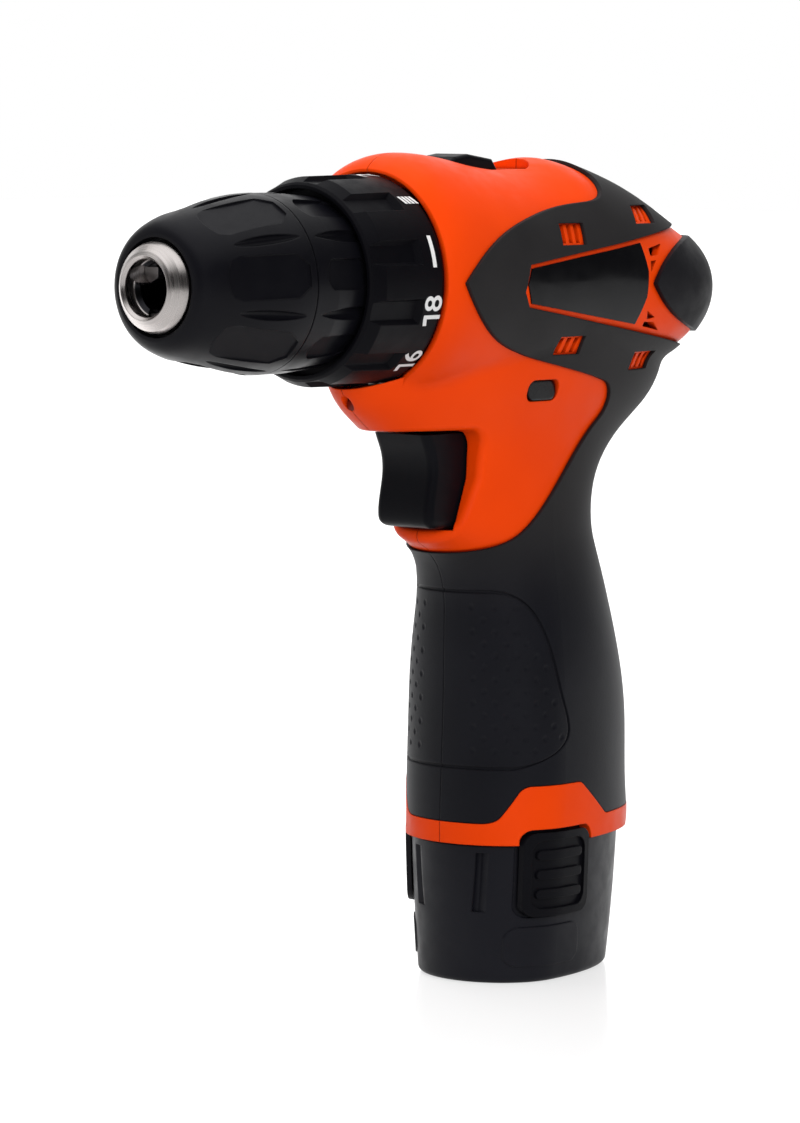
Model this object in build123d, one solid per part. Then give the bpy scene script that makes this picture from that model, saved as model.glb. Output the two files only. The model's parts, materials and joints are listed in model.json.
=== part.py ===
from build123d import *
import os
from math import acos, asin, cos, degrees, pi, radians, sin, sqrt, tan

# Cordless drill driver. Millimetres, +Z up, the chuck points to -X and the battery stands on z = 0.
# The origin is at the middle of the battery's foot, under the drill axis.

# Driving dimensions of the housing
AXIS_Z = 165.0
SHELL_WALL = 2.0
OVERMOULD = 1.0
BAND_PROUD = 1.1
CAP_PROUD = 1.3
LABEL_PROUD = 0.3
PAD_PROUD = 1.5
SEAM = 0.12
BOND_GAP = 0.03
EDGE_GAP = 0.15
RUN = 0.05
FIT = 0.03
LOOSE = 0.3

# Stations of the barrel: x, half width, top height, bottom height
BARREL = [
    (-53.0, 24.8, 190.2, 139.8),
    (-49.0, 26.0, 193.0, 137.4),
    (-43.0, 26.4, 193.8, 136.6),
    (-28.0, 26.4, 192.2, 136.4),
    (-12.0, 26.2, 190.8, 136.4),
    (3.0, 26.0, 192.4, 136.6),
    (12.0, 25.8, 190.6, 137.0),
    (27.0, 25.0, 185.6, 139.3),
    (40.0, 22.8, 179.2, 143.0),
    (47.5, 19.4, 175.8, 146.8),
    (51.5, 14.0, 172.0, 151.0),
]
# Stations of the handle, up past the trigger and into the barrel: z, front x, widest x, rear x, half width
BODY = [
    (33.0, -25.9, -7.5, 32.5, 20.9),
    (43.0, -25.8, -7.5, 32.4, 20.9),
    (53.0, -25.4, -7.5, 32.1, 20.9),
    (63.0, -25.0, -7.5, 31.6, 20.8),
    (75.0, -24.8, -7.4, 29.2, 20.2),
    (84.0, -24.7, -7.2, 26.8, 19.0),
    (95.0, -25.8, -7.0, 23.4, 17.3),
    (101.0, -30.0, -7.0, 21.2, 16.5),
    (107.0, -40.0, -6.8, 19.8, 16.0),
    (114.0, -43.5, -6.5, 20.4, 15.8),
    (121.0, -45.5, -6.0, 23.8, 16.0),
    (128.0, -49.0, -5.5, 31.2, 16.8),
    (135.0, -57.5, -5.0, 41.0, 18.8),
    (141.0, -61.8, -4.5, 45.2, 20.7),
    (147.0, -62.0, -4.0, 46.2, 22.2),
    (152.0, -56.0, -4.0, 46.2, 23.6),
    (157.0, -50.0, -4.0, 45.4, 24.8),
]
BLEND_R = 6.0
HANDLE_LOW_Z = BODY[0][0]
BATTERY_GAP = 0.4
BATTERY = [
    (0.0, -24.3, -7.5, 27.6, 18.4),
    (14.0, -25.1, -7.5, 29.4, 19.4),
    (HANDLE_LOW_Z - BATTERY_GAP, -25.7, -7.5, 30.9, 20.3),
]
FRONT_X = BARREL[0][0]

# Side view outlines of the overmould, as x, z
SPLIT_TOP_X = 10.7
ARROW_TIP = (-48.8, 164.8)
UPPER_EDGE = [(SPLIT_TOP_X, 188.2), (7.5, 184.3), (-2.3, 182.2), (-22.5, 179.1), (-34.7, 175.3), ARROW_TIP]
LOWER_EDGE = [ARROW_TIP, (-40.8, 155.2), (-34.8, 151.4), (-25.4, 148.1), (-5.6, 143.6), (7.0, 140.6)]
CORNER = (11.0, 136.4)
GUARD_EDGE = [(9.4, 131.5), (0.2, 121.8), (-8.1, 112.9), (-19.2, 104.5), (-26.0, 102.2), (-40.0, 101.0)]
BAND_TOP_Z = 38.0
ARCH_TOP_Z = 46.8
ARCH_R = 3.0
ARCH = [(-22.8, BAND_TOP_Z), (-18.2, ARCH_TOP_Z), (-1.6, ARCH_TOP_Z), (9.8, BAND_TOP_Z)]
FRAME_WINDOW = [(-29.2, 162.3), (-27.1, 168.5), (24.6, 175.0), (60.0, 179.0), (60.0, 144.6), (26.5, 149.9),
                (-27.3, 158.8)]
LABEL = [(-27.4, 164.0), (-26.0, 167.6), (15.4, 172.6), (17.0, 166.0), (16.6, 160.0), (14.0, 153.6),
         (-25.9, 159.6)]
CAP_EDGE = [(60.0, 173.6), (44.0, 173.4), (32.0, 171.8), (24.0, 168.2), (19.0, 163.0), (25.0, 157.4),
            (35.0, 153.0), (44.0, 151.0), (60.0, 150.6)]

CAP_ROUND = 4.0
CAP_NOTCHES = [(166.8, 170.4), (152.0, 155.8)]
CAP_NOTCH_X = 44.0
CAP_NOTCH_Y = (11.5, 15.5)

# Vent windows through the overmould: lower left corner, width, height, lean of the sides
VENTS = [((-14.3, 172.6), 8.6, 5.0, 0.8), ((15.4, 177.0), 9.0, 4.2, 1.6),
         ((-14.4, 147.3), 9.0, 4.2, 1.2), ((16.4, 142.6), 9.4, 4.2, 1.6)]
VENT_SLOTS = 3
VENT_SLOT_W = 1.3

# Finger panel on the handle, with its dimples
PANEL = [(-40.0, 92.5), (-22.0, 92.6), (-16.6, 90.1), (-10.8, 78.3), (-7.6, 66.0), (-6.0, 58.6), (-12.5, 53.2),
         (-20.0, 50.6), (-40.0, 50.3)]
PANEL_GROOVE = 0.8
GROOVE_DEPTH = 0.5
DIMPLE_R = 0.85
DIMPLE_ROWS = 13
DIMPLE_PITCH_Z = 2.78
DIMPLE_PITCH = 5.4
DIMPLE_LOW_Z = 55.2
DIMPLE_FIRST_TURN = 22.0

# Opening and pad on the back of the handle
BACK_Z = 73.0
BACK_OPEN = (9.5, 22.0)
BACK_PAD = (5.4, 19.0)

# Trigger, direction button, selector and lamp
OPENING_TOP_Z = 130.4
OPENING_LOW_Z = 106.9
OPENING_REAR = [(-28.0, OPENING_TOP_Z), (-28.6, 119.0), (-33.0, OPENING_LOW_Z)]
OPENING_R = 4.0
OPENING_RIM = 2.0
TRIGGER_HALF = 8.4
TRIGGER_ROUND = 2.0
TRIGGER_TRAVEL = 6.0
TRIGGER_BOTTOM_Z = 107.4
TRIGGER_TOP_Z = 129.4
TRIGGER_BACK_X = -22.0
TRIGGER_STEM_R = 3.0
TRIGGER_FRONT = [(-42.0, TRIGGER_TOP_Z), (-39.9, 124.5), (-39.4, 120.5), (-40.3, 115.0), (-40.8, 110.6),
                 (-36.0, TRIGGER_BOTTOM_Z)]
SPRING_WIRE_R = 0.35
BUTTON_X = -14.0
BUTTON_Z = 139.0
BUTTON_L = 9.6
BUTTON_H = 4.4
BUTTON_HALF = 19.4
SELECTOR_FRONT_X = -31.0
SELECTOR_L = 17.5
SELECTOR_HALF = 5.6
SELECTOR_TOP_Z = 193.4
SELECTOR_PLATE_Z = 186.9
SELECTOR_PLATE_T = 1.2
SELECTOR_PLATE_HALF = 7.0
SELECTOR_TRAVEL = 5.0
DISH_X = (-34.0, -1.0)
DISH_HALF = 8.2
DISH_Z = 189.7
DISH_FLOOR = 1.2
LAMP_R = 1.4
LAMP_TILT = 12.0
LAMP_X = -59.5
LAMP_Z = 137.2

# Screws through the right half: x, z
SCREWS = [(-40.0, 137.6), (26.0, 140.6), (-20.0, 98.6), (8.0, 95.0)]
SCREW_R = 1.2
SCREW_HEAD_R = 2.9
SCREW_HEAD_T = 2.2
SCREW_SEAT_Y = 6.0
SCREW_TIP_Y = -9.0
BOSS_WALL = 1.9

# Gear train: both stages share one module and tooth count
MODULE = 0.8
SUN_TEETH = 12
PLANET_TEETH = 15
RING_TEETH = SUN_TEETH + 2 * PLANET_TEETH
PLANETS = 3
PRESSURE = radians(25.0)
BACKLASH = 0.08
GEAR_W = 5.9
PIN_R = 1.5
CARRIER_R = 15.0
CARRIER_T = 2.2
STAGE_GAP = 0.4
RING_R = 19.5
CASE_R = 21.5
CASE_WALL = 1.95
CASE_FRONT_T = 2.1
COVER_T = 2.4

# Motor
CAN_R = 17.5
CAN_WALL = 1.3
CAN_L = 48.0
AIR_GAP = 0.5
MAGNET_T = 3.2
MAGNET_L = 30.0
SHAFT_R = 1.6
BUSH_R = 3.2
COMMUTATOR_R = 4.5
BELL_T = 5.0
ARMATURE_SLOTS = 5

# Clutch and collar
COLLAR_R = 24.0
COLLAR_FRONT_X = -76.0
COLLAR_POCKETS = 11
COLLAR_WALL = 3.2
COLLAR_FLANGE_T = 2.0
COLLAR_CONE_L = 3.6
POCKET_LOW_HALF = 2.1
POCKET_TOP_HALF = 3.9
POCKET_DEPTH = 1.6
POCKET_END_X = -58.8
POCKET_RAMP = 2.2
POCKET_TURN = 15.4
NOSE_R = 13.5
NOSE_BORE_R = 11.0
NOSE_END_X = -72.4
CLUTCH_BALLS = 6
BALL_R = 1.9
BALL_CIRCLE_R = 17.3
WASHER_T = 1.5
CLUTCH_NUT_T = 2.5
CLUTCH_SPRING_L = 11.0
CLUTCH_SPRING_R = 16.2
CLUTCH_WIRE_R = 0.9
CLUTCH_TURNS = 3

# Chuck
CHUCK_FRONT_X = -125.0
CHUCK_REAR_X = -78.0
CHUCK_R = 12.0
CHUCK_NECK_R = 9.0
CHUCK_NECK_X = -99.0
NOSE_HOLE_R = 6.4
BIT_R = 5.3
SPINDLE_R = 5.0
SPINDLE_TIP_X = -92.0
JAW_R = 2.3
JAW_L = 20.0
JAW_TILT = 18.0
JAW_TIP_X = -117.0
JAW_GRIP_R = 4.2
JAW_TRAVEL = 12.6
SLEEVE_SPLIT_X = -91.0
SLEEVE_REAR_X = -73.6
FLUTES = 7
FLUTE_TURN = 33.0
FACET_ARCH = 2.0
FACET_POINT = 3.4
BEARING_W = 5.0

# Battery
BATTERY_WALL = 2.6
SLEEVE_TOP_Z = 79.0
SLEEVE_WALL = 1.2
SLEEVE_GAP = 0.35
SLEEVE_ROOF = 2.0
CELL_R = 8.6
CELL_L = 65.0
CELL_GAP = 0.1
CELL_LOW_Z = 8.0
STRAP_T = 0.3
BOARD_T = 1.2
CONTACT_H = 5.0
CONTACT_T = 0.8
CONTACT_W = 6.0
CONTACT_PITCH = 6.0
LATCH_X = (-18.2, 2.1)
LATCH_Z = (16.0, 35.8)
LATCH_PROUD = 1.8
LATCH_IN = 0.5
LATCH_TRAVEL = 1.0
LATCH_BARS = 3
LATCH_BAR = 2.2
LATCH_BAR_PITCH = 4.6
LATCH_FRAME = 1.8
LATCH_RECESS = 0.8
LATCH_CLEAR = 0.4
LATCH_CORNER = 3.0
FOOT_PAD_X = (-20.0, 1.0)
FOOT_PAD_Z = (4.0, 13.4)
FOOT_PAD_PROUD = 0.35
CASE_SLOT_X = (-23.9, -22.5)
CASE_SLOT_Z = (17.0, 31.0)
CASE_SLOT_DEPTH = 1.0

FAR = 60.0
AXIS = Axis((0, 0, AXIS_Z), (1, 0, 0))
nodes = {}


def keep(name, *pieces):
    """Store the solids of one sub-part under its name."""
    nodes[name] = [solid for piece in pieces for solid in piece.solids()]


def rod(x0, x1, radius, bore=0.0, y=0.0, z=AXIS_Z):
    """A cylinder or tube along X."""
    at = Pos((x0 + x1) / 2, y, z) * Rot(0, 90, 0)
    body = at * Cylinder(radius, abs(x1 - x0))
    if bore:
        body -= at * Cylinder(bore, abs(x1 - x0) + 1)
    return body


def cross_rod(x, z, radius, y0, y1):
    """A cylinder along Y."""
    return Pos(x, (y0 + y1) / 2, z) * Rot(90, 0, 0) * Cylinder(radius, abs(y1 - y0))


def block(x0, x1, y0, y1, z0, z1):
    """A box between two corners."""
    return Pos((x0 + x1) / 2, (y0 + y1) / 2, (z0 + z1) / 2) * Box(abs(x1 - x0), abs(y1 - y0), abs(z1 - z0))


def turned(points):
    """A solid turned on the drill axis from points of x and radius."""
    outline = Polyline(*[(x, AXIS_Z + r) for x, r in points], close=True)
    return revolve(Plane.XZ * make_face(outline), AXIS, 360)


def side_face(lines):
    """A face in the side view from lines drawn as x, z."""
    return Plane.XZ * make_face(lines)


def polygon(points):
    return side_face(Polyline(*points, close=True))


def left_prism(face):
    return extrude(face, amount=FAR, dir=(0, -1, 0))


def through_prism(face):
    return extrude(face, amount=FAR, both=True)


def polar(count, piece, start=0.0):
    """Copies of a piece around the drill axis."""
    return [piece.rotate(AXIS, start + 360.0 * i / count) for i in range(count)]


# Outer skin
def egg(z, front, wide, rear, half, grow):
    nose = EllipticalCenterArc((wide, 0), wide - front + grow, half + grow, 90, arc_size=180)
    tail = EllipticalCenterArc((wide, 0), rear - wide + grow, half + grow, 270, arc_size=180)
    return Plane.XY.offset(z) * make_face(Curve() + [nose, tail])


def column(stations, grow, low=0.0, high=0.0):
    """A loft up through egg sections, with its ends moved by low and high."""
    sections = []
    for i, (z, front, wide, rear, half) in enumerate(stations):
        if i == 0:
            z += low
        if i == len(stations) - 1:
            z += high
        sections.append(egg(z, front, wide, rear, half, grow))
    return loft(sections)


def barrel(grow, ahead=0.0):
    """A loft along X through ellipses, with its front end moved forward."""
    sections = []
    for i, (x, half, top, bottom) in enumerate(BARREL):
        if i == 0:
            x -= ahead
        if i == len(BARREL) - 1:
            x += grow
        plane = Plane(origin=(x, 0, (top + bottom) / 2), x_dir=(0, 1, 0), z_dir=(1, 0, 0))
        sections.append(plane * Ellipse(half + grow, (top - bottom) / 2 + grow))
    return loft(sections)


def is_crease(edge):
    """Whether an edge runs along the meeting of the barrel and the handle."""
    box = edge.bounding_box()
    return box.size.X > 30 and box.min.Z > BODY[-5][0] and box.max.Z < BODY[-1][0]


def skin(grow, ahead=0.0, below=0.0):
    """The barrel and the handle as one form, with the crease between them rounded."""
    joined = barrel(grow, ahead) + column(BODY, grow, -below)
    return fillet([edge for edge in joined.edges() if is_crease(edge)], BLEND_R - grow)


def station_at(stations, z):
    """The section between two stations at a height."""
    for a, b in zip(stations, stations[1:]):
        if a[0] <= z <= b[0]:
            t = (z - a[0]) / (b[0] - a[0])
            return tuple(p + (q - p) * t for p, q in zip(a, b))
    return stations[-1]


# Housing halves
SEAM_LEFT = block(-3 * FAR, 3 * FAR, -FAR, -SEAM / 2, -FAR, 4 * FAR)
CASE_FRONT_X = FRONT_X + 1.7
CASE_INNER_X = CASE_FRONT_X + CASE_FRONT_T
SECOND_PLATE_X = CASE_INNER_X + STAGE_GAP
SECOND_GEAR_X = SECOND_PLATE_X + CARRIER_T + LOOSE
FIRST_PLATE_X = SECOND_GEAR_X + GEAR_W + STAGE_GAP
FIRST_GEAR_X = FIRST_PLATE_X + CARRIER_T + LOOSE
COVER_X = FIRST_GEAR_X + GEAR_W + SELECTOR_TRAVEL + STAGE_GAP
CAN_X = COVER_X + COVER_T + BOND_GAP
CAN_END_X = CAN_X + CAN_L
SHIFT_W = 1.8
SHIFT_X = FIRST_GEAR_X + GEAR_W / 2 - SHIFT_W / 2
RIB_T = 2.0
RIB_LOW_Z = 142.6
SWITCH_X = (-13.0, 8.0)
SWITCH_Z = (109.0, 127.0)
SWITCH_HALF = 8.5
SWITCH_BOSS = (-3.0, 118.0)


def arch_line(lift):
    """The upper edge of the orange band, with an arch over the latch, from front to rear."""
    arch = [(x, z + lift) for x, z in ARCH]
    return FilletPolyline((-FAR, BAND_TOP_Z + lift), *arch, (FAR, BAND_TOP_Z + lift), radius=ARCH_R)


def band_face():
    low = Polyline((FAR, BAND_TOP_Z), (FAR, HANDLE_LOW_Z), (-FAR, HANDLE_LOW_Z), (-FAR, BAND_TOP_Z))
    return side_face(Curve() + [arch_line(0.0), low])


def trigger_opening(grow):
    """The space in front of the handle for the trigger and a finger."""
    top = OPENING_TOP_Z + grow
    low = OPENING_LOW_Z - grow
    (x0, _), (x1, middle), (x2, _) = OPENING_REAR
    points = [(-2 * FAR, top), (x0 + grow, top), (x1 + grow, middle), (x2 + grow, low), (-2 * FAR, low)]
    line = FilletPolyline(*points, radius=OPENING_R)
    return through_prism(side_face(Curve() + [line, Line(points[-1], points[0])]))


def is_rim(edge):
    """Whether an edge runs around the trigger's opening on the outer skin."""
    box = edge.bounding_box()
    in_height = box.min.Z > OPENING_LOW_Z - 1 and box.max.Z < OPENING_TOP_Z + 1
    in_front = box.max.X < OPENING_REAR[0][0] + 1
    return in_height and in_front and edge.geom_type != GeomType.LINE


def latch_outline(clear):
    """A rounded rectangle around a latch, in the side view."""
    size = (LATCH_X[1] - LATCH_X[0] + 2 * clear, LATCH_Z[1] - LATCH_Z[0] + 2 * clear)
    return Plane.XZ * (Pos(sum(LATCH_X) / 2, sum(LATCH_Z) / 2) * RectangleRounded(*size, LATCH_CORNER))


def rib(x, bore, middle):
    """A plate across the barrel that carries a round inner piece."""
    plate = middle & block(x - RIB_T / 2, x + RIB_T / 2, -FAR, FAR, RIB_LOW_Z, AXIS_Z + FAR)
    return plate - rod(x - FAR, x + FAR, bore)


def vent_slots(vent):
    """Slanted slots through the shell under one vent window."""
    (x, z), width, height, lean = vent
    step = width / (VENT_SLOTS + 0.5)
    slots = []
    for i in range(VENT_SLOTS):
        left = x + step * (i + 0.5)
        corners = [(left, z + 0.4), (left + VENT_SLOT_W, z + 0.4),
                   (left + VENT_SLOT_W + lean, z + height - 0.4), (left + lean, z + height - 0.4)]
        slots.append(left_prism(polygon(corners)))
    return slots


def vent_window(vent):
    (x, z), width, height, lean = vent
    return left_prism(polygon([(x, z), (x + width, z), (x + width + lean, z + height), (x + lean, z + height)]))


def frame_vents():
    """Small openings between the label and the rear cap."""
    outlines = [
        [(18.6, 171.2), (24.4, 172.2), (22.0, 169.6), (18.8, 169.4)],
        [(18.6, 168.2), (20.8, 168.4), (18.4, 165.8)],
        [(18.0, 156.6), (21.4, 155.0), (18.6, 154.6)],
        [(17.6, 153.0), (24.6, 151.8), (21.6, 153.8), (17.8, 154.0)],
    ]
    return [left_prism(polygon(points)) for points in outlines]


def selector_space():
    """The room inside the top of the shell for the selector's plate and its travel."""
    half = SELECTOR_PLATE_HALF + 2 * LOOSE
    return block(SELECTOR_FRONT_X - 6, SELECTOR_FRONT_X + SELECTOR_L + SELECTOR_TRAVEL + 6, -half, half,
                 AXIS_Z + RING_R - 1.2, SELECTOR_PLATE_Z + SELECTOR_PLATE_T + LOOSE)


def lamp_rod(radius, ahead, behind):
    at = Pos(LAMP_X, 0, LAMP_Z) * Rot(0, 90 + LAMP_TILT, 0)
    return at * Pos(0, 0, (behind - ahead) / 2) * Cylinder(radius, ahead + behind)


def button_slot(clear):
    outline = RectangleRounded(BUTTON_L + 2 * clear, BUTTON_H + 2 * clear, BUTTON_H / 2 - 0.2)
    return Plane.XZ * (Pos(BUTTON_X, BUTTON_Z) * outline)


def selector_dish():
    """A shallow dish around the selector, with a round rear end."""
    mid_x = sum(DISH_X) / 2
    face = Pos(mid_x, 0, DISH_Z) * RectangleRounded(DISH_X[1] - DISH_X[0], 2 * DISH_HALF, DISH_HALF - 0.4)
    return extrude(face, amount=FAR)


def housing_left_half():
    outer = skin(0.0) - trigger_opening(0.0)
    outer = fillet([edge for edge in outer.edges() if is_rim(edge)], OPENING_RIM)
    inner = skin(-SHELL_WALL, SHELL_WALL, SHELL_WALL) - trigger_opening(SHELL_WALL)
    shell = outer - inner
    band = column(BODY, BAND_PROUD) & through_prism(band_face())
    band -= column(BODY, -SHELL_WALL, -SHELL_WALL)
    shell = shell + band
    middle = skin(-SHELL_WALL / 2)
    case_bore = CASE_R + FIT
    can_bore = CAN_R + FIT
    ribs = [rib(CASE_INNER_X + 3.2, case_bore, middle), rib(COVER_X - 3.8, case_bore, middle),
            rib(CAN_X + 9.7, can_bore, middle), rib(CAN_END_X - 6.3, can_bore, middle)]
    for plate in ribs:
        shell += plate
    floor_half = DISH_HALF + SHELL_WALL
    shell += middle & block(DISH_X[0] - SHELL_WALL, DISH_X[1] + SHELL_WALL, -floor_half, floor_half,
                            DISH_Z - DISH_FLOOR, AXIS_Z + FAR)
    shell -= selector_dish()
    shell -= selector_space()
    boss = cross_rod(*SWITCH_BOSS, 4.0, -FAR, -SWITCH_HALF - BOND_GAP) & middle
    shell += boss
    slot_end = SELECTOR_FRONT_X + SELECTOR_L + SELECTOR_TRAVEL + LOOSE
    shell -= block(SELECTOR_FRONT_X - LOOSE, slot_end, -SELECTOR_HALF - LOOSE, SELECTOR_HALF + LOOSE,
                   SELECTOR_PLATE_Z, AXIS_Z + FAR)
    shell -= rod(FRONT_X - FAR, FRONT_X, COLLAR_R + 2 * LOOSE)
    shell -= block(-2 * FAR, TRIGGER_BACK_X + 6, -TRIGGER_HALF - 0.6, TRIGGER_HALF + 0.6,
                   TRIGGER_BOTTOM_Z - 0.4, TRIGGER_TOP_Z + 0.3)
    shell -= through_prism(button_slot(LOOSE))
    shell -= lamp_rod(LAMP_R + FIT, 12.0, 14.0)
    shell -= left_prism(latch_outline(2 * LATCH_CLEAR)) & block(-FAR, FAR, -FAR, -10, 0, FAR)
    for vent in VENTS:
        shell -= vent_slots(vent)
    shell -= frame_vents()
    return shell & SEAM_LEFT


def screw_bosses(side, middle):
    """Bosses of one half: side -1 takes the screw tips, side +1 the heads."""
    out = []
    for x, z in SCREWS:
        radius = SCREW_HEAD_R + LOOSE + BOSS_WALL if side > 0 else SCREW_R + 2 * BOSS_WALL / 1.5
        out.append(cross_rod(x, z, radius, side * SEAM / 2, side * FAR) & middle)
    return out


def screw_holes(side):
    out = []
    for x, z in SCREWS:
        if side > 0:
            out.append(cross_rod(x, z, SCREW_R + LOOSE, 0, FAR))
            out.append(cross_rod(x, z, SCREW_HEAD_R + LOOSE, SCREW_SEAT_Y, FAR))
        else:
            out.append(cross_rod(x, z, SCREW_R + FIT, 0, SCREW_TIP_Y - 0.5))
    return out


def overmould_face():
    top = AXIS_Z + FAR
    low = BAND_TOP_Z + EDGE_GAP
    lines = [
        Polyline((FAR, top), (SPLIT_TOP_X, top), UPPER_EDGE[0]),
        Spline(*UPPER_EDGE),
        Spline(*LOWER_EDGE),
        ThreePointArc(LOWER_EDGE[-1], CORNER, GUARD_EDGE[0]),
        Spline(*GUARD_EDGE),
        Polyline(GUARD_EDGE[-1], (-FAR, GUARD_EDGE[-1][1]), (-FAR, low)),
        arch_line(EDGE_GAP),
        Polyline((FAR, low), (FAR, top)),
    ]
    return side_face(Curve() + lines)


def panel_face(inset):
    edge = [(x - inset, z) for x, z in PANEL[1:-1]]
    edge[0] = (PANEL[1][0], PANEL[1][1] - inset)
    edge[-1] = (PANEL[-2][0], PANEL[-2][1] + inset)
    front_x = PANEL[0][0]
    lines = [
        Spline(*edge),
        Polyline(edge[-1], (front_x, edge[-1][1]), (front_x, edge[0][1]), edge[0]),
    ]
    return side_face(Curve() + lines)


def panel_rear_x(z):
    """The rear edge of the finger panel at a height."""
    edge = [p for p in PANEL[1:-1] if p[1] <= PANEL[1][1]]
    for (x0, z0), (x1, z1) in zip(edge, edge[1:]):
        if z1 <= z <= z0:
            return x0 + (x1 - x0) * (z0 - z) / (z0 - z1)
    return PANEL[0][0]


def dimples():
    """Round dimples in staggered rows over the finger panel, cut by balls set on the grip's surface."""
    ball = 2.0 * DIMPLE_R
    depth = ball - sqrt(ball ** 2 - DIMPLE_R ** 2)
    surface = column(BODY, OVERMOULD)
    out = []
    for row in range(DIMPLE_ROWS):
        z = DIMPLE_LOW_Z + row * DIMPLE_PITCH_Z
        _, front, wide, _, half = station_at(BODY, z)
        long_r = wide - front + OVERMOULD
        half_r = half + OVERMOULD
        angle = DIMPLE_FIRST_TURN + (DIMPLE_PITCH / half_r * 29.0 if row % 2 else 0.0)
        while angle < 90.0:
            turn = radians(angle)
            x = wide - long_r * cos(turn)
            outward = Vector(-cos(turn) / long_r, -sin(turn) / half_r, 0.0).normalized()
            if x < panel_rear_x(z) - 2.0:
                outside = Vector(x, -half_r * sin(turn), z) + outward * 2.0
                spot = surface.distance_to_with_closest_points(outside)[1]
                out.append(Pos(*(spot + outward * (ball - depth))) * Sphere(ball))
            angle += degrees(DIMPLE_PITCH / half_r)
    return out


def back_prism(half, tall):
    plane = Plane(origin=(5, 0, BACK_Z), x_dir=(0, 1, 0), z_dir=(1, 0, 0))
    return extrude(plane * Ellipse(half, tall), amount=FAR)


def grip_overmould_left_half():
    layer = skin(OVERMOULD) - skin(BOND_GAP)
    layer = layer & left_prism(overmould_face()) & SEAM_LEFT
    layer -= left_prism(polygon(FRAME_WINDOW))
    for vent in VENTS:
        layer -= vent_window(vent)
    layer -= back_prism(*BACK_OPEN)
    groove = left_prism(panel_face(0.0)) - left_prism(panel_face(PANEL_GROOVE))
    groove &= column(BODY, OVERMOULD + 1.0) - column(BODY, OVERMOULD - GROOVE_DEPTH)
    layer -= groove
    return layer - dimples()


housing_half = housing_left_half()
overmould_half = grip_overmould_left_half()
boss_space = skin(-SHELL_WALL / 2)
housing_left = housing_half
for boss in screw_bosses(-1, boss_space):
    housing_left += boss
keep("housing_left", housing_left - screw_holes(-1))
housing_right = mirror(housing_half, about=Plane.XZ)
for boss in screw_bosses(1, boss_space):
    housing_right += boss
keep("housing_right", housing_right - screw_holes(1))
keep("grip_overmould_left", overmould_half)
keep("grip_overmould_right", mirror(overmould_half, about=Plane.XZ) - screw_holes(1))

cap_line = Curve() + [Spline(*CAP_EDGE[:5]), Spline(*CAP_EDGE[4:]), Line(CAP_EDGE[-1], CAP_EDGE[0])]
cap_body = barrel(CAP_PROUD)
cap_body = fillet(cap_body.edges().group_by(Axis.X)[-1], CAP_ROUND)
rear_cap = (cap_body - barrel(BOND_GAP)) & through_prism(side_face(cap_line))
for low_z, high_z in CAP_NOTCHES:
    for side in (-1, 1):
        rear_cap -= block(CAP_NOTCH_X, FAR, side * CAP_NOTCH_Y[0], side * CAP_NOTCH_Y[1], low_z, high_z)
keep("rear_cap", rear_cap)

label_layer = barrel(LABEL_PROUD) - barrel(BOND_GAP)
label_left = label_layer & left_prism(polygon(LABEL)) & SEAM_LEFT
keep("label_plate_left", label_left)
keep("label_plate_right", mirror(label_left, about=Plane.XZ))

back_layer = column(BODY, PAD_PROUD) - column(BODY, BOND_GAP)
keep("back_pad", back_layer & back_prism(*BACK_PAD))

screws = []
for x, z in SCREWS:
    screw = cross_rod(x, z, SCREW_R, SCREW_TIP_Y, SCREW_SEAT_Y)
    head = cross_rod(x, z, SCREW_HEAD_R, SCREW_SEAT_Y, SCREW_SEAT_Y + SCREW_HEAD_T)
    for wide, tall in ((0.8, 3.6), (3.6, 0.8)):
        head -= block(x - wide / 2, x + wide / 2, SCREW_SEAT_Y + 0.9, FAR, z - tall / 2, z + tall / 2)
    screws.append(screw + head)
keep("housing_screws", *screws)

# Lamp, trigger, switch, direction button and speed selector
keep("lamp", lamp_rod(LAMP_R, -1.6, 9.0))

trigger_lines = [
    Spline(*TRIGGER_FRONT, tangents=((0.35, -1.0), (1.0, 0.0))),
    Polyline(TRIGGER_FRONT[-1], (-28.0, TRIGGER_BOTTOM_Z), (TRIGGER_BACK_X, TRIGGER_BOTTOM_Z + 4.0),
             (TRIGGER_BACK_X, TRIGGER_TOP_Z), TRIGGER_FRONT[0]),
]
trigger = extrude(side_face(Curve() + trigger_lines), amount=TRIGGER_HALF, both=True)
side_edges = [e for e in trigger.edges() if abs(abs(e.center().Y) - TRIGGER_HALF) < 0.01]
trigger = fillet([e for e in side_edges if e.center().X < -37.5], TRIGGER_ROUND)
switch_mid_z = (SWITCH_Z[0] + SWITCH_Z[1]) / 2
trigger += rod(TRIGGER_BACK_X - 1, SWITCH_X[0] + 2, TRIGGER_STEM_R, 0, 0, switch_mid_z)
keep("trigger", trigger)

switch = block(*SWITCH_X, -SWITCH_HALF, SWITCH_HALF, *SWITCH_Z)
switch = fillet(switch.edges().filter_by(Axis.X), 1.2)
switch -= rod(SWITCH_X[0] - 1, SWITCH_X[0] + 2 + TRIGGER_TRAVEL + 1, TRIGGER_STEM_R + LOOSE, 0, 0, switch_mid_z)
keep("switch_body", switch)


def coil(x0, length, radius, wire, turns, z=AXIS_Z):
    """A wire coil along X, clear of both of its seats."""
    reach = length - 2 * wire - 0.2
    path = Helix(reach / turns, reach, radius)
    start = Plane(path @ 0, z_dir=path % 0)
    wound = sweep(start * Circle(wire), path, is_frenet=True)
    return Pos(x0 + wire + 0.1, 0, z) * Rot(0, 90, 0) * wound


trigger_spring_l = SWITCH_X[0] - TRIGGER_BACK_X
keep("trigger_spring", coil(TRIGGER_BACK_X, trigger_spring_l, TRIGGER_STEM_R + 1.2, SPRING_WIRE_R, 4, switch_mid_z))

keep("direction_button", extrude(button_slot(0.0), amount=BUTTON_HALF, both=True))

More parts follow.
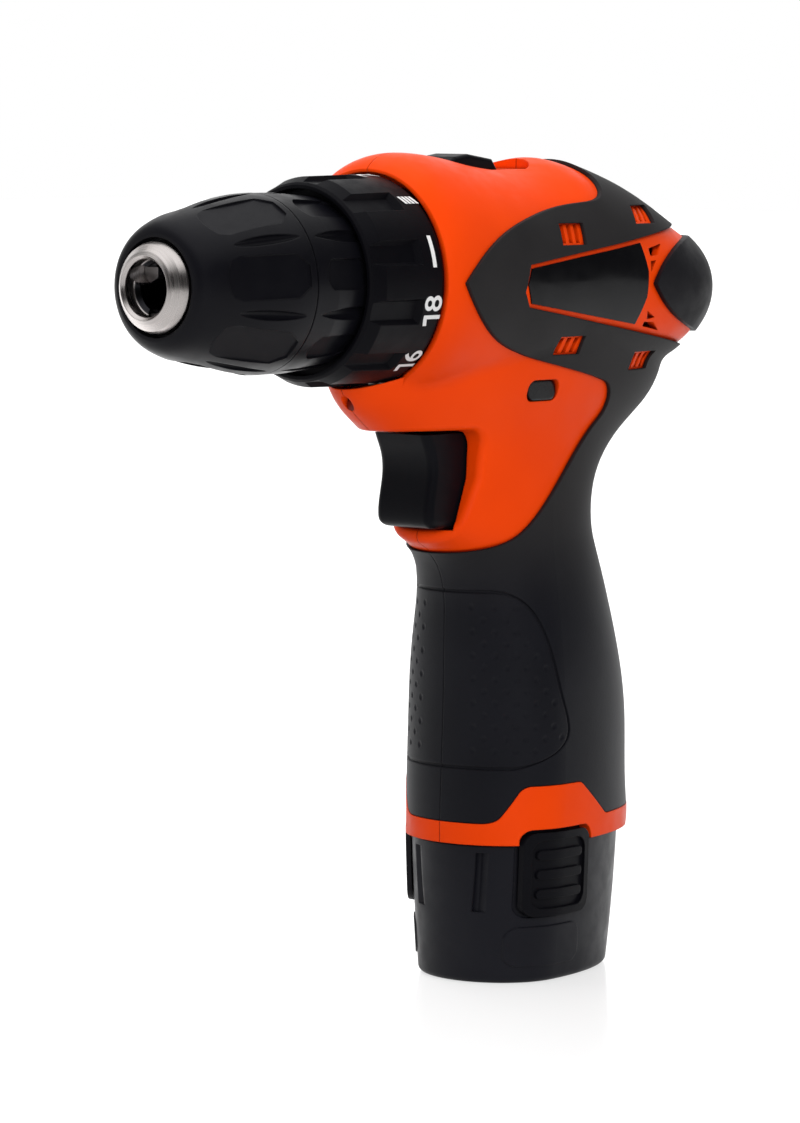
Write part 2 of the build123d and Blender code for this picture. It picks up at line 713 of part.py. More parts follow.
selector_rear_x = SELECTOR_FRONT_X + SELECTOR_L
knob_line = [(SELECTOR_FRONT_X, SELECTOR_PLATE_Z), (SELECTOR_FRONT_X, 191.4), (SELECTOR_FRONT_X + 2.5, 192.8),
             (SELECTOR_FRONT_X + 7.0, SELECTOR_TOP_Z), (selector_rear_x - 2.2, 192.2), (selector_rear_x, 189.4),
             (selector_rear_x, SELECTOR_PLATE_Z)]
knob = extrude(polygon(knob_line), amount=SELECTOR_HALF, both=True)
knob = fillet([e for e in knob.edges() if e.center().Z > 190 and abs(e.center().Y) > SELECTOR_HALF - 0.01], 1.0)
plate = block(SELECTOR_FRONT_X - 5, selector_rear_x + 5, -SELECTOR_PLATE_HALF, SELECTOR_PLATE_HALF,
              SELECTOR_PLATE_Z, SELECTOR_PLATE_Z + SELECTOR_PLATE_T)
finger = block(SHIFT_X, SHIFT_X + SHIFT_W, -2.5, 2.5, AXIS_Z + RING_R - 0.7, SELECTOR_PLATE_Z + 0.5)
keep("speed_selector", knob + plate + finger)

terminal = column(BODY, -SHELL_WALL - 2 * BOND_GAP)
terminal &= block(-FAR, FAR, -FAR, FAR, SLEEVE_TOP_Z + 1.5, SLEEVE_TOP_Z + 9)


# Gears
def involute(angle):
    return tan(angle) - angle


def gear_face(teeth, outer_add, inner_ded, thicken):
    """Outline of a gear with involute flanks; a positive thicken widens its teeth."""
    pitch_r = MODULE * teeth / 2
    base_r = pitch_r * cos(PRESSURE)
    tip_r = pitch_r + outer_add * MODULE
    root_r = pitch_r - inner_ded * MODULE
    half_pitch = pi / (2 * teeth) + thicken / (2 * pitch_r)
    steps = 4
    low = max(root_r, base_r)
    flank = []
    if root_r < base_r:
        flank.append((root_r, half_pitch + involute(PRESSURE) - involute(acos(base_r / low))))
    for i in range(steps + 1):
        r = low + (tip_r - low) * i / steps
        flank.append((r, half_pitch + involute(PRESSURE) - involute(acos(base_r / r))))
    points = []
    for tooth in range(teeth):
        middle = 2 * pi * tooth / teeth
        points += [(r * cos(middle - a), r * sin(middle - a)) for r, a in flank]
        points += [(r * cos(middle + a), r * sin(middle + a)) for r, a in reversed(flank)]
    return make_face(Polyline(*points, close=True))


def gear_plane(x, y=0.0, z=AXIS_Z):
    return Plane(origin=(x, y, z), x_dir=(0, 1, 0), z_dir=(1, 0, 0))


def sun_gear(x, length):
    return extrude(gear_plane(x) * gear_face(SUN_TEETH, 0.9, 1.25, -BACKLASH / 2), amount=length)


PLANET_CIRCLE_R = MODULE * (SUN_TEETH + PLANET_TEETH) / 2
PLANET_SPOTS = [(PLANET_CIRCLE_R * cos(2 * pi * i / PLANETS), PLANET_CIRCLE_R * sin(2 * pi * i / PLANETS))
                for i in range(PLANETS)]


def planet_gear(x, i):
    """A planet with a gap towards the sun and a tooth towards the ring."""
    y, z = PLANET_SPOTS[i]
    turn = 360.0 * i / PLANETS + 180.0 + 180.0 / PLANET_TEETH
    face = Rot(0, 0, turn) * gear_face(PLANET_TEETH, 0.9, 1.25, -BACKLASH / 2)
    gear = extrude(gear_plane(x, y, AXIS_Z + z) * face, amount=GEAR_W)
    return gear - rod(x - 1, x + GEAR_W + 1, PIN_R + RUN, 0, y, AXIS_Z + z)


def ring_gear(x, length):
    body = rod(x, x + length, RING_R)
    return body - extrude(gear_plane(x - 1) * gear_face(RING_TEETH, 1.25, 0.85, BACKLASH / 2), amount=length + 2)


def planet_pins(x0, x1):
    return [rod(x0, x1, PIN_R, 0, y, AXIS_Z + z) for y, z in PLANET_SPOTS]


first_ring = ring_gear(FIRST_GEAR_X, GEAR_W)
first_ring -= rod(SHIFT_X - 0.1, SHIFT_X + SHIFT_W + 0.1, RING_R + 1, RING_R - 0.9)
keep("ring_gear_first", first_ring)
second_ring_x = SECOND_GEAR_X - 1.0
keep("ring_gear_second", ring_gear(second_ring_x, GEAR_W + 1.0))
for i in range(PLANETS):
    keep(f"planet_first_{i + 1}", planet_gear(FIRST_GEAR_X, i))
    keep(f"planet_second_{i + 1}", planet_gear(SECOND_GEAR_X, i))

first_carrier = rod(FIRST_PLATE_X, FIRST_PLATE_X + CARRIER_T, CARRIER_R)
first_carrier += sun_gear(SECOND_GEAR_X, FIRST_PLATE_X - SECOND_GEAR_X)
for pin in planet_pins(FIRST_PLATE_X, FIRST_GEAR_X + GEAR_W):
    first_carrier += pin
keep("carrier_first", first_carrier)

spindle = rod(SECOND_PLATE_X, SECOND_PLATE_X + CARRIER_T, CARRIER_R)
for pin in planet_pins(SECOND_PLATE_X, SECOND_GEAR_X + GEAR_W):
    spindle += pin
shoulder_x = NOSE_END_X + 1.0 + BEARING_W
spindle += rod(SPINDLE_TIP_X, SECOND_PLATE_X + 0.5, SPINDLE_R)
spindle += rod(shoulder_x + STAGE_GAP, SECOND_PLATE_X + 0.5, SPINDLE_R + 1.5)
CHUCK_SCREW_R = 2.4
CHUCK_SCREW_L = 14.0
spindle -= rod(SPINDLE_TIP_X - 1, SPINDLE_TIP_X + CHUCK_SCREW_L, CHUCK_SCREW_R + FIT)
keep("spindle", spindle)
keep("spindle_bearing", rod(NOSE_END_X + 1.0, shoulder_x, NOSE_BORE_R - FIT, SPINDLE_R + RUN))

case = rod(CASE_FRONT_X, COVER_X, CASE_R, CASE_R - CASE_WALL)
case += rod(CASE_FRONT_X, CASE_INNER_X, CASE_R, SPINDLE_R + 1.5 + LOOSE)
case += rod(NOSE_END_X, CASE_INNER_X, NOSE_R, NOSE_BORE_R)
case += rod(NOSE_END_X, NOSE_END_X + 1.0, NOSE_R, NOSE_BORE_R - 1.5)
ball_x = second_ring_x - BALL_R - 0.02
ball_spot = Pos(ball_x, 0, AXIS_Z + BALL_CIRCLE_R)
ball_hole = rod(CASE_FRONT_X - 1, CASE_INNER_X + 1, BALL_R + 0.1, 0, 0, AXIS_Z + BALL_CIRCLE_R)
case -= polar(CLUTCH_BALLS, ball_hole, 30)
case -= block(SHIFT_X - LOOSE, SHIFT_X + SHIFT_W + SELECTOR_TRAVEL + LOOSE, -3, 3, AXIS_Z + 10, AXIS_Z + FAR)
keep("gearbox_case", case)
keep("gearbox_cover", rod(COVER_X + BOND_GAP, COVER_X + COVER_T, CASE_R, MODULE * SUN_TEETH / 2 + 1.5))
keep("clutch_balls", *polar(CLUTCH_BALLS, ball_spot * Sphere(BALL_R), 30))

# Clutch
washer_x = CASE_FRONT_X - BOND_GAP - WASHER_T
keep("clutch_washer", rod(washer_x, washer_x + WASHER_T, CASE_R - 2, NOSE_R + LOOSE))
spring_x = washer_x - CLUTCH_SPRING_L
keep("clutch_spring", coil(spring_x, CLUTCH_SPRING_L, CLUTCH_SPRING_R, CLUTCH_WIRE_R, CLUTCH_TURNS))
keep("clutch_nut", rod(spring_x - CLUTCH_NUT_T, spring_x, COLLAR_R - COLLAR_WALL - LOOSE, NOSE_R + LOOSE))

COLLAR_REAR_X = FRONT_X - 0.2
flange_x = COLLAR_FRONT_X + 3.0
collar_bore = COLLAR_R - COLLAR_WALL
collar = turned([
    (COLLAR_FRONT_X, collar_bore + 0.2), (COLLAR_FRONT_X, collar_bore + 1.0),
    (COLLAR_FRONT_X + 0.6, collar_bore + 1.6), (COLLAR_FRONT_X + COLLAR_CONE_L, COLLAR_R - 0.3),
    (COLLAR_REAR_X - 1.0, COLLAR_R), (COLLAR_REAR_X, COLLAR_R - 0.4), (COLLAR_REAR_X, collar_bore),
    (flange_x + COLLAR_FLANGE_T, collar_bore), (flange_x + COLLAR_FLANGE_T, NOSE_R + LOOSE),
    (flange_x, NOSE_R + LOOSE), (flange_x, collar_bore),
])
pocket_low = COLLAR_R - POCKET_DEPTH
pocket_high = COLLAR_R + 1.0
pocket_across = [(-POCKET_LOW_HALF, pocket_low), (POCKET_LOW_HALF, pocket_low),
                 (POCKET_TOP_HALF, pocket_high), (-POCKET_TOP_HALF, pocket_high)]
pocket_along = [(COLLAR_FRONT_X - 1, pocket_low), (POCKET_END_X - POCKET_RAMP, pocket_low),
                (POCKET_END_X, pocket_high), (COLLAR_FRONT_X - 1, pocket_high)]
pocket_bar = extrude(gear_plane(COLLAR_FRONT_X - 1) * make_face(Polyline(*pocket_across, close=True)), amount=FAR)
pocket = pocket_bar & through_prism(polygon([(x, AXIS_Z + r) for x, r in pocket_along]))
collar -= polar(COLLAR_POCKETS, pocket, 90.0 + POCKET_TURN)
keep("clutch_collar", collar)

# Chuck
chuck_body = turned([
    (CHUCK_FRONT_X, 0), (CHUCK_FRONT_X, 7.2), (CHUCK_FRONT_X + 0.5, 8.0), (CHUCK_FRONT_X + 2.0, 9.5),
    (CHUCK_FRONT_X + 3.6, 10.2), (CHUCK_FRONT_X + 12, 10.2), (CHUCK_FRONT_X + 12, CHUCK_R),
    (CHUCK_NECK_X, CHUCK_R), (CHUCK_NECK_X, CHUCK_NECK_R), (CHUCK_REAR_X, CHUCK_NECK_R), (CHUCK_REAR_X, 0),
])
chuck_body -= turned([
    (CHUCK_FRONT_X - 1, 0), (CHUCK_FRONT_X - 1, NOSE_HOLE_R + 1.7), (CHUCK_FRONT_X + 0.7, NOSE_HOLE_R),
    (CHUCK_FRONT_X + 3.4, NOSE_HOLE_R), (CHUCK_FRONT_X + 4.4, BIT_R), (SPINDLE_TIP_X - 4.4, BIT_R),
    (SPINDLE_TIP_X - 4.4, 0),
])
chuck_body -= rod(SPINDLE_TIP_X - 5, CHUCK_REAR_X + 1, SPINDLE_R + FIT)
jaw_angle = radians(JAW_TILT)
jaw_axis_r = JAW_GRIP_R + JAW_R - 0.4


def jaw_rod(radius, ahead, behind):
    """A rod along a jaw's line, from ahead of its tip to behind it, at the top of the chuck."""
    at = Pos(JAW_TIP_X, 0, AXIS_Z + jaw_axis_r) * Rot(0, 90 - JAW_TILT, 0)
    return at * Pos(0, 0, (behind - ahead) / 2) * Cylinder(radius, ahead + behind)


JAWS = 3
JAW_START = 60.0
chuck_body -= polar(JAWS, jaw_rod(JAW_R + RUN, 16.0, JAW_L + 12.0), JAW_START)
keep("chuck_body", *sorted(chuck_body.solids(), key=lambda s: -s.volume)[:1])

jaw = jaw_rod(JAW_R, 3.0, JAW_L)
jaw -= block(JAW_TIP_X - FAR, JAW_TIP_X, -FAR, FAR, 0, 3 * AXIS_Z)
jaw -= block(JAW_TIP_X - 1, JAW_TIP_X + FAR, -FAR, FAR, 0, AXIS_Z + JAW_GRIP_R)
# The gripping side is a wedge of 120 degrees, so that three closed jaws meet side by side.
jaw_apex_r = JAW_TRAVEL * sin(jaw_angle) + 0.12
wedge_line = Polyline((0, jaw_apex_r), (JAW_L, jaw_apex_r + JAW_L / tan(radians(60.0))),
                      (-JAW_L, jaw_apex_r + JAW_L / tan(radians(60.0))), close=True)
jaw &= extrude(gear_plane(JAW_TIP_X - 5) * make_face(wedge_line), amount=FAR)
for i, piece in enumerate(polar(JAWS, jaw, JAW_START)):
    keep(f"chuck_jaw_{i + 1}", piece)

screw_head = rod(SPINDLE_TIP_X - 3.6, SPINDLE_TIP_X - BOND_GAP, SPINDLE_R - 0.6)
screw_head -= rod(SPINDLE_TIP_X - 4, SPINDLE_TIP_X - 1.6, 1.6)
keep("chuck_screw", screw_head + rod(SPINDLE_TIP_X - 1, SPINDLE_TIP_X + CHUCK_SCREW_L - 1, CHUCK_SCREW_R))

SLEEVE_DOME = [(-121.4, 11.8), (-120.4, 13.6), (-118.0, 15.1), (-114.6, 16.3), (-111.4, 17.2), (-106.5, 18.4),
               (-100.4, 19.5), (-94.0, 20.15), (SLEEVE_SPLIT_X - 0.2, 20.25)]
SLEEVE_CAVITY = [(SLEEVE_SPLIT_X - 0.2, 17.6), (-100.4, 17.5), (-101.5, 16.9), (-104.0, 16.2), (-110.0, 14.4),
                 (-113.4, 12.5), (-113.4, 10.25), (-118.6, 10.25), (-118.6, 11.0), (-121.4, 11.0)]
dome_line = Spline(*[(x, AXIS_Z + r) for x, r in SLEEVE_DOME])
cavity_line = Polyline(dome_line @ 1, *[(x, AXIS_Z + r) for x, r in SLEEVE_CAVITY], dome_line @ 0)
front_sleeve = revolve(side_face(Curve() + [dome_line, cavity_line]), AXIS, 360)


def leaf(x0, r0, x1, r1, deep, turn):
    """A long lens turned about its own length, laid on the sleeve's surface to cut a leaf shaped groove."""
    length = sqrt((x1 - x0) ** 2 + (r1 - r0) ** 2)
    arc = ThreePointArc((0, 0), (length / 2, deep), (length, 0))
    lens = revolve(make_face(Curve() + [arc, Line((length, 0), (0, 0))]), Axis.X, 360)
    tilt = degrees(asin((r1 - r0) / length))
    return (Pos(x0, 0, AXIS_Z + r0) * Rot(0, -tilt, 0) * lens).rotate(AXIS, turn)


def facet(x0, r0, x1, r1, half, turn):
    """A slab whose underside cuts a flat on the sleeve, arched at the front and pointed at the rear."""
    length = sqrt((x1 - x0) ** 2 + (r1 - r0) ** 2)
    tilt = degrees(asin((r1 - r0) / length))
    rear = length - FACET_POINT
    lines = [
        ThreePointArc((FACET_ARCH, half), (0, 0), (FACET_ARCH, -half)),
        Polyline((FACET_ARCH, -half), (rear, -half), (length, -half / 2), (length, half / 2), (rear, half),
                 (FACET_ARCH, half)),
    ]
    slab = extrude(make_face(Curve() + lines), amount=10.0, dir=(0, 0, 1))
    return (Pos(x0, 0, AXIS_Z + r0) * Rot(0, -tilt, 0) * slab).rotate(AXIS, turn)


for i in range(FLUTES):
    turn = 90.0 - FLUTE_TURN + 360.0 * i / FLUTES
    between = turn + 180.0 / FLUTES
    front_sleeve -= leaf(-113.5, 17.2, -92.6, 20.5, 1.2, turn)
    front_sleeve -= facet(-114.8, 15.9, -93.0, 19.7, 4.9, between)
keep("chuck_front_sleeve", front_sleeve)

rear_sleeve = turned([
    (SLEEVE_SPLIT_X + 0.2, CHUCK_NECK_R + FIT), (SLEEVE_SPLIT_X + 0.2, 20.2), (-84.0, 20.2), (-77.0, 19.7),
    (SLEEVE_REAR_X, 19.3), (SLEEVE_REAR_X, 15.0), (CHUCK_REAR_X, 14.0), (CHUCK_REAR_X, CHUCK_NECK_R + FIT),
])
for i in range(FLUTES):
    turn = 90.0 - FLUTE_TURN + 360.0 * i / FLUTES
    between = turn + 180.0 / FLUTES
    rear_sleeve -= leaf(-89.0, 20.2, -67.0, 19.4, 1.5, turn)
    rear_sleeve -= facet(-87.6, 19.3, SLEEVE_REAR_X + 1, 18.7, 3.4, between)
keep("chuck_rear_sleeve", rear_sleeve)
keep("chuck_nut", rod(-100.0, -96.0, 17.4, 15.3))

# Motor
can = rod(CAN_X, CAN_END_X, CAN_R, CAN_R - CAN_WALL)
keep("motor_can", can + rod(CAN_X, CAN_X + CAN_WALL, CAN_R, BUSH_R + FIT))
magnet_out = CAN_R - CAN_WALL - BOND_GAP
magnet_in = magnet_out - MAGNET_T
core_r = magnet_in - AIR_GAP
core_x = CAN_X + 9.0
magnets = rod(core_x, core_x + MAGNET_L, magnet_out, magnet_in)
magnets -= block(-FAR, FAR, -FAR, FAR, AXIS_Z - 5, AXIS_Z + 5)
keep("motor_magnets", magnets)
core = rod(core_x, core_x + MAGNET_L, core_r, SHAFT_R + FIT)
SLOT_W = 2.6
SLOT_DEPTH = 6.0
core -= polar(ARMATURE_SLOTS, block(core_x - 1, core_x + MAGNET_L + 1, -SLOT_W / 2, SLOT_W / 2,
                                    AXIS_Z + core_r - SLOT_DEPTH, AXIS_Z + FAR))
keep("armature", core)
wires = [rod(core_x - 4.0, core_x - BOND_GAP, core_r - 1, 3.0),
         rod(core_x + MAGNET_L + BOND_GAP, core_x + MAGNET_L + 4.0, core_r - 1, 3.0)]
keep("windings", *wires)
shaft_end_x = CAN_END_X + BELL_T + 3.6
shaft_tip_x = FIRST_GEAR_X + 0.4
keep("motor_shaft", rod(shaft_tip_x, shaft_end_x, SHAFT_R))
pinion = sun_gear(FIRST_GEAR_X + 0.4, GEAR_W)
keep("motor_pinion", pinion - rod(FIRST_GEAR_X - 1, FIRST_GEAR_X + 9, SHAFT_R + FIT))
commutator_x = core_x + MAGNET_L + 4.5
keep("commutator", rod(commutator_x, commutator_x + 4.0, COMMUTATOR_R, SHAFT_R + FIT))
bell = rod(CAN_END_X + BOND_GAP, CAN_END_X + BELL_T, CAN_R - 0.2, BUSH_R + FIT)
bell += rod(CAN_END_X - 2, CAN_END_X + BELL_T, CAN_R - CAN_WALL - BOND_GAP, CAN_R - CAN_WALL - 2)
keep("motor_end_bell", bell)
brush_in = COMMUTATOR_R + RUN
brushes = []
for side in (-1, 1):
    brushes.append(block(commutator_x + 0.3, commutator_x + 3.7, side * brush_in, side * (brush_in + 6.5),
                         AXIS_Z - 1.8, AXIS_Z + 1.8))
keep("motor_brushes", *brushes)
bush_spots = [CAN_X, CAN_END_X + BELL_T - 4.0]
keep("motor_bushes", *[rod(x, x + 4.0, BUSH_R, SHAFT_R + RUN) for x in bush_spots])

# Battery
cell_front_x = BATTERY[0][2] - 0.5
cell_side_y = CELL_R + CELL_GAP / 2
cell_rear_x = cell_front_x + (2 * CELL_R + CELL_GAP) * cos(radians(30.0)) + 0.1
CELL_SPOTS = [(cell_front_x, -cell_side_y), (cell_front_x, cell_side_y), (cell_rear_x, 0.0)]
cell_top_z = CELL_LOW_Z + CELL_L


def cell_rods(radius, z0, z1):
    return [Pos(x, y, (z0 + z1) / 2) * Cylinder(radius, z1 - z0) for x, y in CELL_SPOTS]


def battery_layer(outside, inside):
    """The space between two grown copies of the battery's outer form, open at both ends."""
    return column(BATTERY, outside, -1.0, 9.0) - column(BATTERY, inside, -2.0, 10.0)


battery_top_z = BATTERY[-1][0]
outer_case = column(BATTERY, 0.0)
outer_case = fillet(outer_case.edges().group_by(Axis.Z)[0], 1.5)
case_cavity = column(BATTERY, -BATTERY_WALL, CELL_LOW_Z - STRAP_T - BOND_GAP, 1.0)
battery_case = outer_case - case_cavity - cell_rods(CELL_R + CELL_GAP, CELL_LOW_Z - STRAP_T - BOND_GAP, FAR)
pad_spot = Pos(sum(FOOT_PAD_X) / 2, sum(FOOT_PAD_Z) / 2)
pad_face = RectangleRounded(FOOT_PAD_X[1] - FOOT_PAD_X[0], FOOT_PAD_Z[1] - FOOT_PAD_Z[0], LATCH_CORNER)
pad_prism = through_prism(Plane.XZ * (pad_spot * pad_face))
battery_case += battery_layer(FOOT_PAD_PROUD, -BATTERY_WALL / 2) & pad_prism
latch_room = battery_layer(5.0, LATCH_IN - LATCH_TRAVEL - LOOSE)
battery_case -= latch_room & through_prism(latch_outline(LATCH_CLEAR))
slot_face = polygon([(CASE_SLOT_X[0], CASE_SLOT_Z[0]), (CASE_SLOT_X[1], CASE_SLOT_Z[0]),
                     (CASE_SLOT_X[1], CASE_SLOT_Z[1]), (CASE_SLOT_X[0], CASE_SLOT_Z[1])])
battery_case -= battery_layer(5.0, -CASE_SLOT_DEPTH) & through_prism(slot_face)
keep("battery_case", battery_case)

latch = battery_layer(LATCH_PROUD, LATCH_IN) & left_prism(latch_outline(0.0)) & SEAM_LEFT
recess = left_prism(latch_outline(-LATCH_FRAME))
bar_spot = Pos(sum(LATCH_X) / 2, sum(LATCH_Z) / 2)
bar_face = RectangleRounded(LATCH_X[1] - LATCH_X[0] - 2 * LATCH_FRAME - 2.4, LATCH_BAR, LATCH_BAR / 2 - 0.1)
for i in range(LATCH_BARS):
    step = Pos(0, (i - (LATCH_BARS - 1) / 2) * LATCH_BAR_PITCH)
    recess -= left_prism(Plane.XZ * (bar_spot * step * bar_face))
latch -= recess & battery_layer(5.0, LATCH_PROUD - LATCH_RECESS)
keep("latch_left", latch)
keep("latch_right", mirror(latch, about=Plane.XZ))

sleeve_grow = -SHELL_WALL - SLEEVE_GAP
sleeve_low = battery_top_z + BOND_GAP - HANDLE_LOW_Z
sleeve = column(BODY, sleeve_grow, sleeve_low) & block(-FAR, FAR, -FAR, FAR, 0, SLEEVE_TOP_Z)
sleeve_space = column(BODY, sleeve_grow - SLEEVE_WALL, sleeve_low - 1)
sleeve -= sleeve_space & block(-FAR, FAR, -FAR, FAR, 0, SLEEVE_TOP_Z - SLEEVE_ROOF)
sleeve -= cell_rods(CELL_R + CELL_GAP, 0, cell_top_z + STRAP_T)
sleeve = sorted(sleeve.solids(), key=lambda s: -s.volume)[0]
keep("battery_sleeve", sleeve)

cells = []
for body in cell_rods(CELL_R, CELL_LOW_Z, cell_top_z):
    cells.append(chamfer(body.edges().filter_by(GeomType.CIRCLE), 0.6))
keep("battery_cells", *cells)
straps = [block(cell_front_x - 3, cell_front_x + 3, -cell_side_y - 4, cell_side_y + 4, cell_top_z + BOND_GAP,
                cell_top_z + STRAP_T),
          block(cell_rear_x - 3, cell_rear_x + 3, -4, 4, cell_top_z + BOND_GAP, cell_top_z + STRAP_T),
          block(cell_front_x - 3, cell_rear_x + 3, -cell_side_y - 3, -cell_side_y + 8, CELL_LOW_Z - STRAP_T,
                CELL_LOW_Z - BOND_GAP)]
keep("cell_straps", *straps)
board_z = cell_top_z + STRAP_T + 0.6
board = column(BODY, sleeve_grow - SLEEVE_WALL - 0.2, sleeve_low)
board &= block(-FAR, FAR, -FAR, FAR, board_z, board_z + BOARD_T)
keep("battery_board", board)
contacts = []
for i in (-1, 0, 1):
    y = i * CONTACT_PITCH
    contacts.append(block(-CONTACT_W / 2, CONTACT_W / 2, y - CONTACT_T / 2, y + CONTACT_T / 2,
                          SLEEVE_TOP_Z + BOND_GAP, SLEEVE_TOP_Z + CONTACT_H))
    terminal -= block(-CONTACT_W / 2 - LOOSE, CONTACT_W / 2 + LOOSE, y - CONTACT_T / 2 - LOOSE,
                      y + CONTACT_T / 2 + LOOSE, SLEEVE_TOP_Z, SLEEVE_TOP_Z + CONTACT_H + 1)
keep("battery_contacts", *contacts)
keep("terminal_block", terminal)

os.makedirs("parts", exist_ok=True)
for name, solids in nodes.items():
    export_step(solids[0] if len(solids) == 1 else Compound(solids), f"parts/{name}.step")
print(len(nodes), "nodes")
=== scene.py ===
import json
from math import cos, radians, sin

import bpy
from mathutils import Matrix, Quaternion, Vector


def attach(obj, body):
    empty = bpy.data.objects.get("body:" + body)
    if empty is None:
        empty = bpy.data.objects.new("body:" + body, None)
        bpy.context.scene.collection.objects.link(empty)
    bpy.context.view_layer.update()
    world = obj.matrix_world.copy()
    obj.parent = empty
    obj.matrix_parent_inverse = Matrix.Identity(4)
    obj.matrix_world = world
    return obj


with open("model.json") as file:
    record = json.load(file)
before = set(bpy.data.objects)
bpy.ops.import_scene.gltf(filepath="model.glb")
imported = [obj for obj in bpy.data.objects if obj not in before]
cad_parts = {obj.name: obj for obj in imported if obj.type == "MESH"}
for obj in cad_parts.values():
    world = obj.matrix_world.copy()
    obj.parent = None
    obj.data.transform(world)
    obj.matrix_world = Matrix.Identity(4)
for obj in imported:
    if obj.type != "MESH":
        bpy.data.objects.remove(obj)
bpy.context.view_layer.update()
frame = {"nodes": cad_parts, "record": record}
NODES = frame["nodes"]
MM = 0.001
AXIS_Z = 165 * MM
COLLAR_R = 24.0 * MM


# Helpers for shader nodes
def smooth_range(tree, value, low, high, low_out, high_out):
    """Maps a value from one range to another with soft ends."""
    node = tree.nodes.new("ShaderNodeMapRange")
    node.interpolation_type = "SMOOTHSTEP"
    numbers = {"From Min": low, "From Max": high, "To Min": low_out, "To Max": high_out}
    for key, number in numbers.items():
        node.inputs[key].default_value = number
    tree.links.new(value, node.inputs["Value"])
    return node.outputs["Result"]


def largest(tree, first, second):
    node = tree.nodes.new("ShaderNodeMath")
    node.operation = "MAXIMUM"
    tree.links.new(first, node.inputs[0])
    tree.links.new(second, node.inputs[1])
    return node.outputs[0]


def along(tree, place, direction):
    """How far a place or a direction lies along a fixed direction."""
    node = tree.nodes.new("ShaderNodeVectorMath")
    node.operation = "DOT_PRODUCT"
    node.inputs[1].default_value = direction
    tree.links.new(place, node.inputs[0])
    return node.outputs["Value"]


class Nodes:
    """A small helper that adds shader nodes to one material and joins them."""

    def __init__(self, name):
        self.material = bpy.data.materials.new(name)
        self.material.use_nodes = True
        self.tree = self.material.node_tree
        self.shader = self.tree.nodes["Principled BSDF"]
        self.place = self.add("ShaderNodeTexCoord").outputs["Object"]

    def add(self, kind, **settings):
        node = self.tree.nodes.new(kind)
        for key, value in settings.items():
            setattr(node, key, value)
        return node

    def link(self, source, target):
        self.tree.links.new(source, target)

    def noise(self, scale, detail=3.0, roughness=0.55):
        node = self.add("ShaderNodeTexNoise")
        node.inputs["Scale"].default_value = scale
        node.inputs["Detail"].default_value = detail
        node.inputs["Roughness"].default_value = roughness
        self.link(self.place, node.inputs["Vector"])
        return node.outputs["Fac"]

    def ramp(self, value, low, high, low_out, high_out):
        return smooth_range(self.tree, value, low, high, low_out, high_out)

    def mix(self, factor, first, second):
        node = self.add("ShaderNodeMix", data_type="RGBA")
        self.link(factor, node.inputs["Factor"])
        for key, colour in (("A", first), ("B", second)):
            socket = next(s for s in node.inputs if s.name == key and s.type == "RGBA")
            if isinstance(colour, tuple):
                socket.default_value = (*colour, 1.0)
            else:
                self.link(colour, socket)
        return next(s for s in node.outputs if s.type == "RGBA")

    def bump(self, height, strength, distance, normal=None):
        node = self.add("ShaderNodeBump")
        node.inputs["Strength"].default_value = strength
        node.inputs["Distance"].default_value = distance
        self.link(height, node.inputs["Height"])
        if normal is not None:
            self.link(normal, node.inputs["Normal"])
        return node.outputs["Normal"]

    def soft_edge(self, radius):
        node = self.add("ShaderNodeBevel", samples=4)
        node.inputs["Radius"].default_value = radius
        return node.outputs["Normal"]

    def openness(self, distance):
        """Near zero deep in a gap, one on open surfaces."""
        node = self.add("ShaderNodeAmbientOcclusion", samples=6)
        node.inputs["Distance"].default_value = distance
        return node.outputs["AO"]

    def axes(self):
        node = self.add("ShaderNodeSeparateXYZ")
        self.link(self.place, node.inputs["Vector"])
        return node.outputs

    def axis_radius(self):
        """Distance from the drill axis."""
        flat = self.add("ShaderNodeVectorMath", operation="MULTIPLY_ADD")
        flat.inputs[1].default_value = (0.0, 1.0, 1.0)
        flat.inputs[2].default_value = (0.0, 0.0, -AXIS_Z)
        self.link(self.place, flat.inputs[0])
        length = self.add("ShaderNodeVectorMath", operation="LENGTH")
        self.link(flat.outputs["Vector"], length.inputs[0])
        return length.outputs["Value"]


# Materials
PAINTED_SHADE_REACH = 1.4 * MM
GRAIN_DEPTH = 0.05 * MM


def moulded(name, colour, shade, rough, grain, strength, edge=0.3 * MM, specular=0.25, painted_gap_shade=None):
    """Moulded plastic with a drifting colour, fine grain and soft edges. Gaps and steps can take a painted
    shade colour.
    """
    n = Nodes(name)
    drift = n.ramp(n.noise(38.0, 2.0), 0.3, 0.7, 0.0, 1.0)
    tone = n.mix(drift, colour, shade)
    # Painted shade: where other surfaces come close, the colour darkens towards the given shade colour.
    if painted_gap_shade is not None:
        tone = n.mix(n.ramp(n.openness(PAINTED_SHADE_REACH), 0.35, 0.85, 0.0, 1.0), painted_gap_shade, tone)
    n.link(tone, n.shader.inputs["Base Color"])
    wear = n.noise(210.0, 4.0)
    n.link(n.ramp(wear, 0.3, 0.7, rough - 0.05, rough + 0.06), n.shader.inputs["Roughness"])
    n.shader.inputs["Specular IOR Level"].default_value = specular
    fine = n.noise(grain, 2.0, 0.6)
    n.link(n.bump(fine, strength, GRAIN_DEPTH, n.soft_edge(edge)), n.shader.inputs["Normal"])
    return n.material


